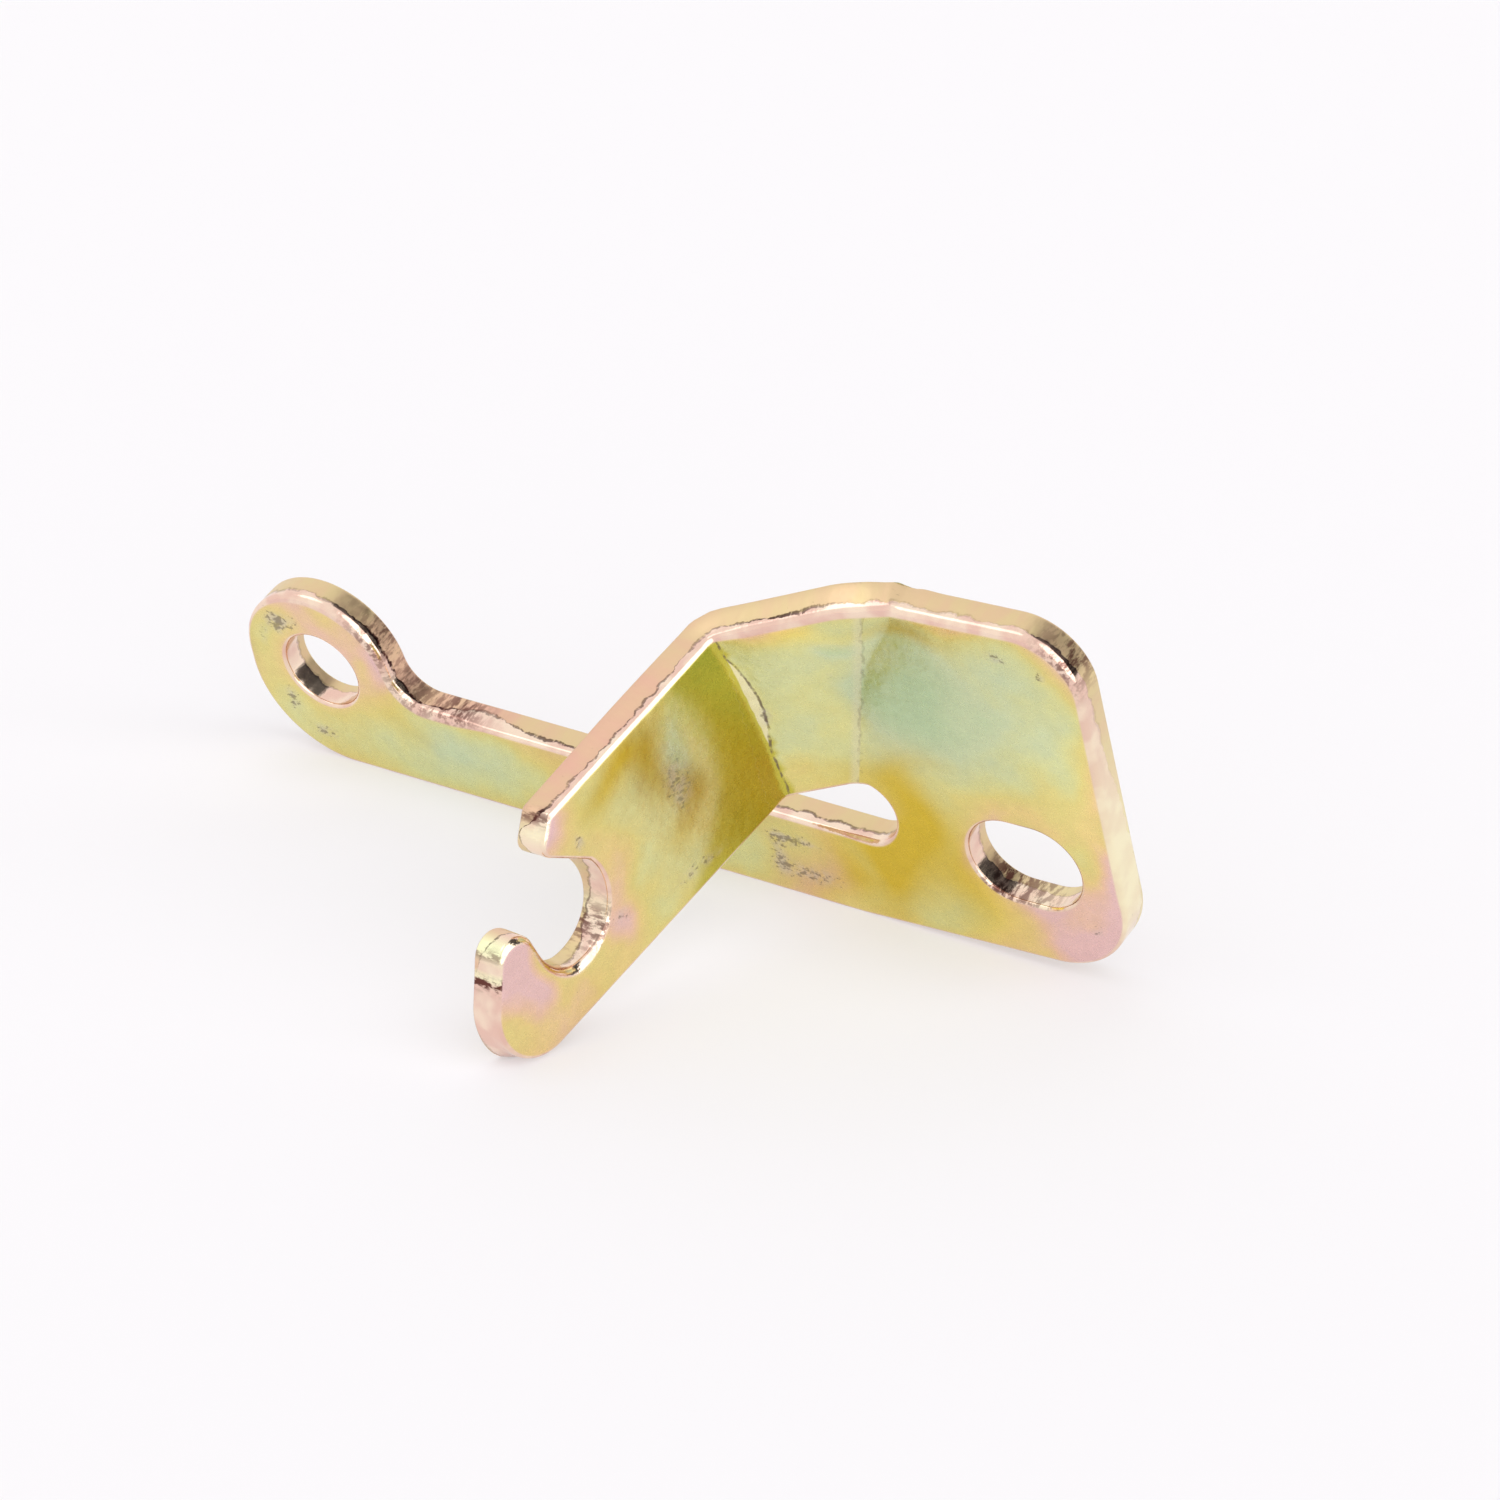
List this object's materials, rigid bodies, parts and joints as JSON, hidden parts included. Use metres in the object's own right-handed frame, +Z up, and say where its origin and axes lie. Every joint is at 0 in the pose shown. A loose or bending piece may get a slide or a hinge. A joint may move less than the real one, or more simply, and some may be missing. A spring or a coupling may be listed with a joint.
{
  "type": "stamped bracket",
  "caption": "Flat stamped steel bracket: a plate with a slot hole and a strip ending in a bolt eye, with an arm folded forward to an open hook.",
  "frame": {"origin": "on the ground, below the centre of the bracket's bounding box", "axes": "+X runs along the plate from the eye to the slot hole, +Y is the back of the plate, +Z is up; the bracket stands on the plate's bottom edge and the hook, so the plate leans towards -Y"},
  "size_m": [0.0742, 0.0358, 0.0297],
  "materials": {
    "zinc_plated_steel": "yellow chromate over zinc, satin, with faint pink and green play of colour"
  },
  "bodies": {
    "root": {"bracket": "zinc_plated_steel"}
  },
  "joints": []
}
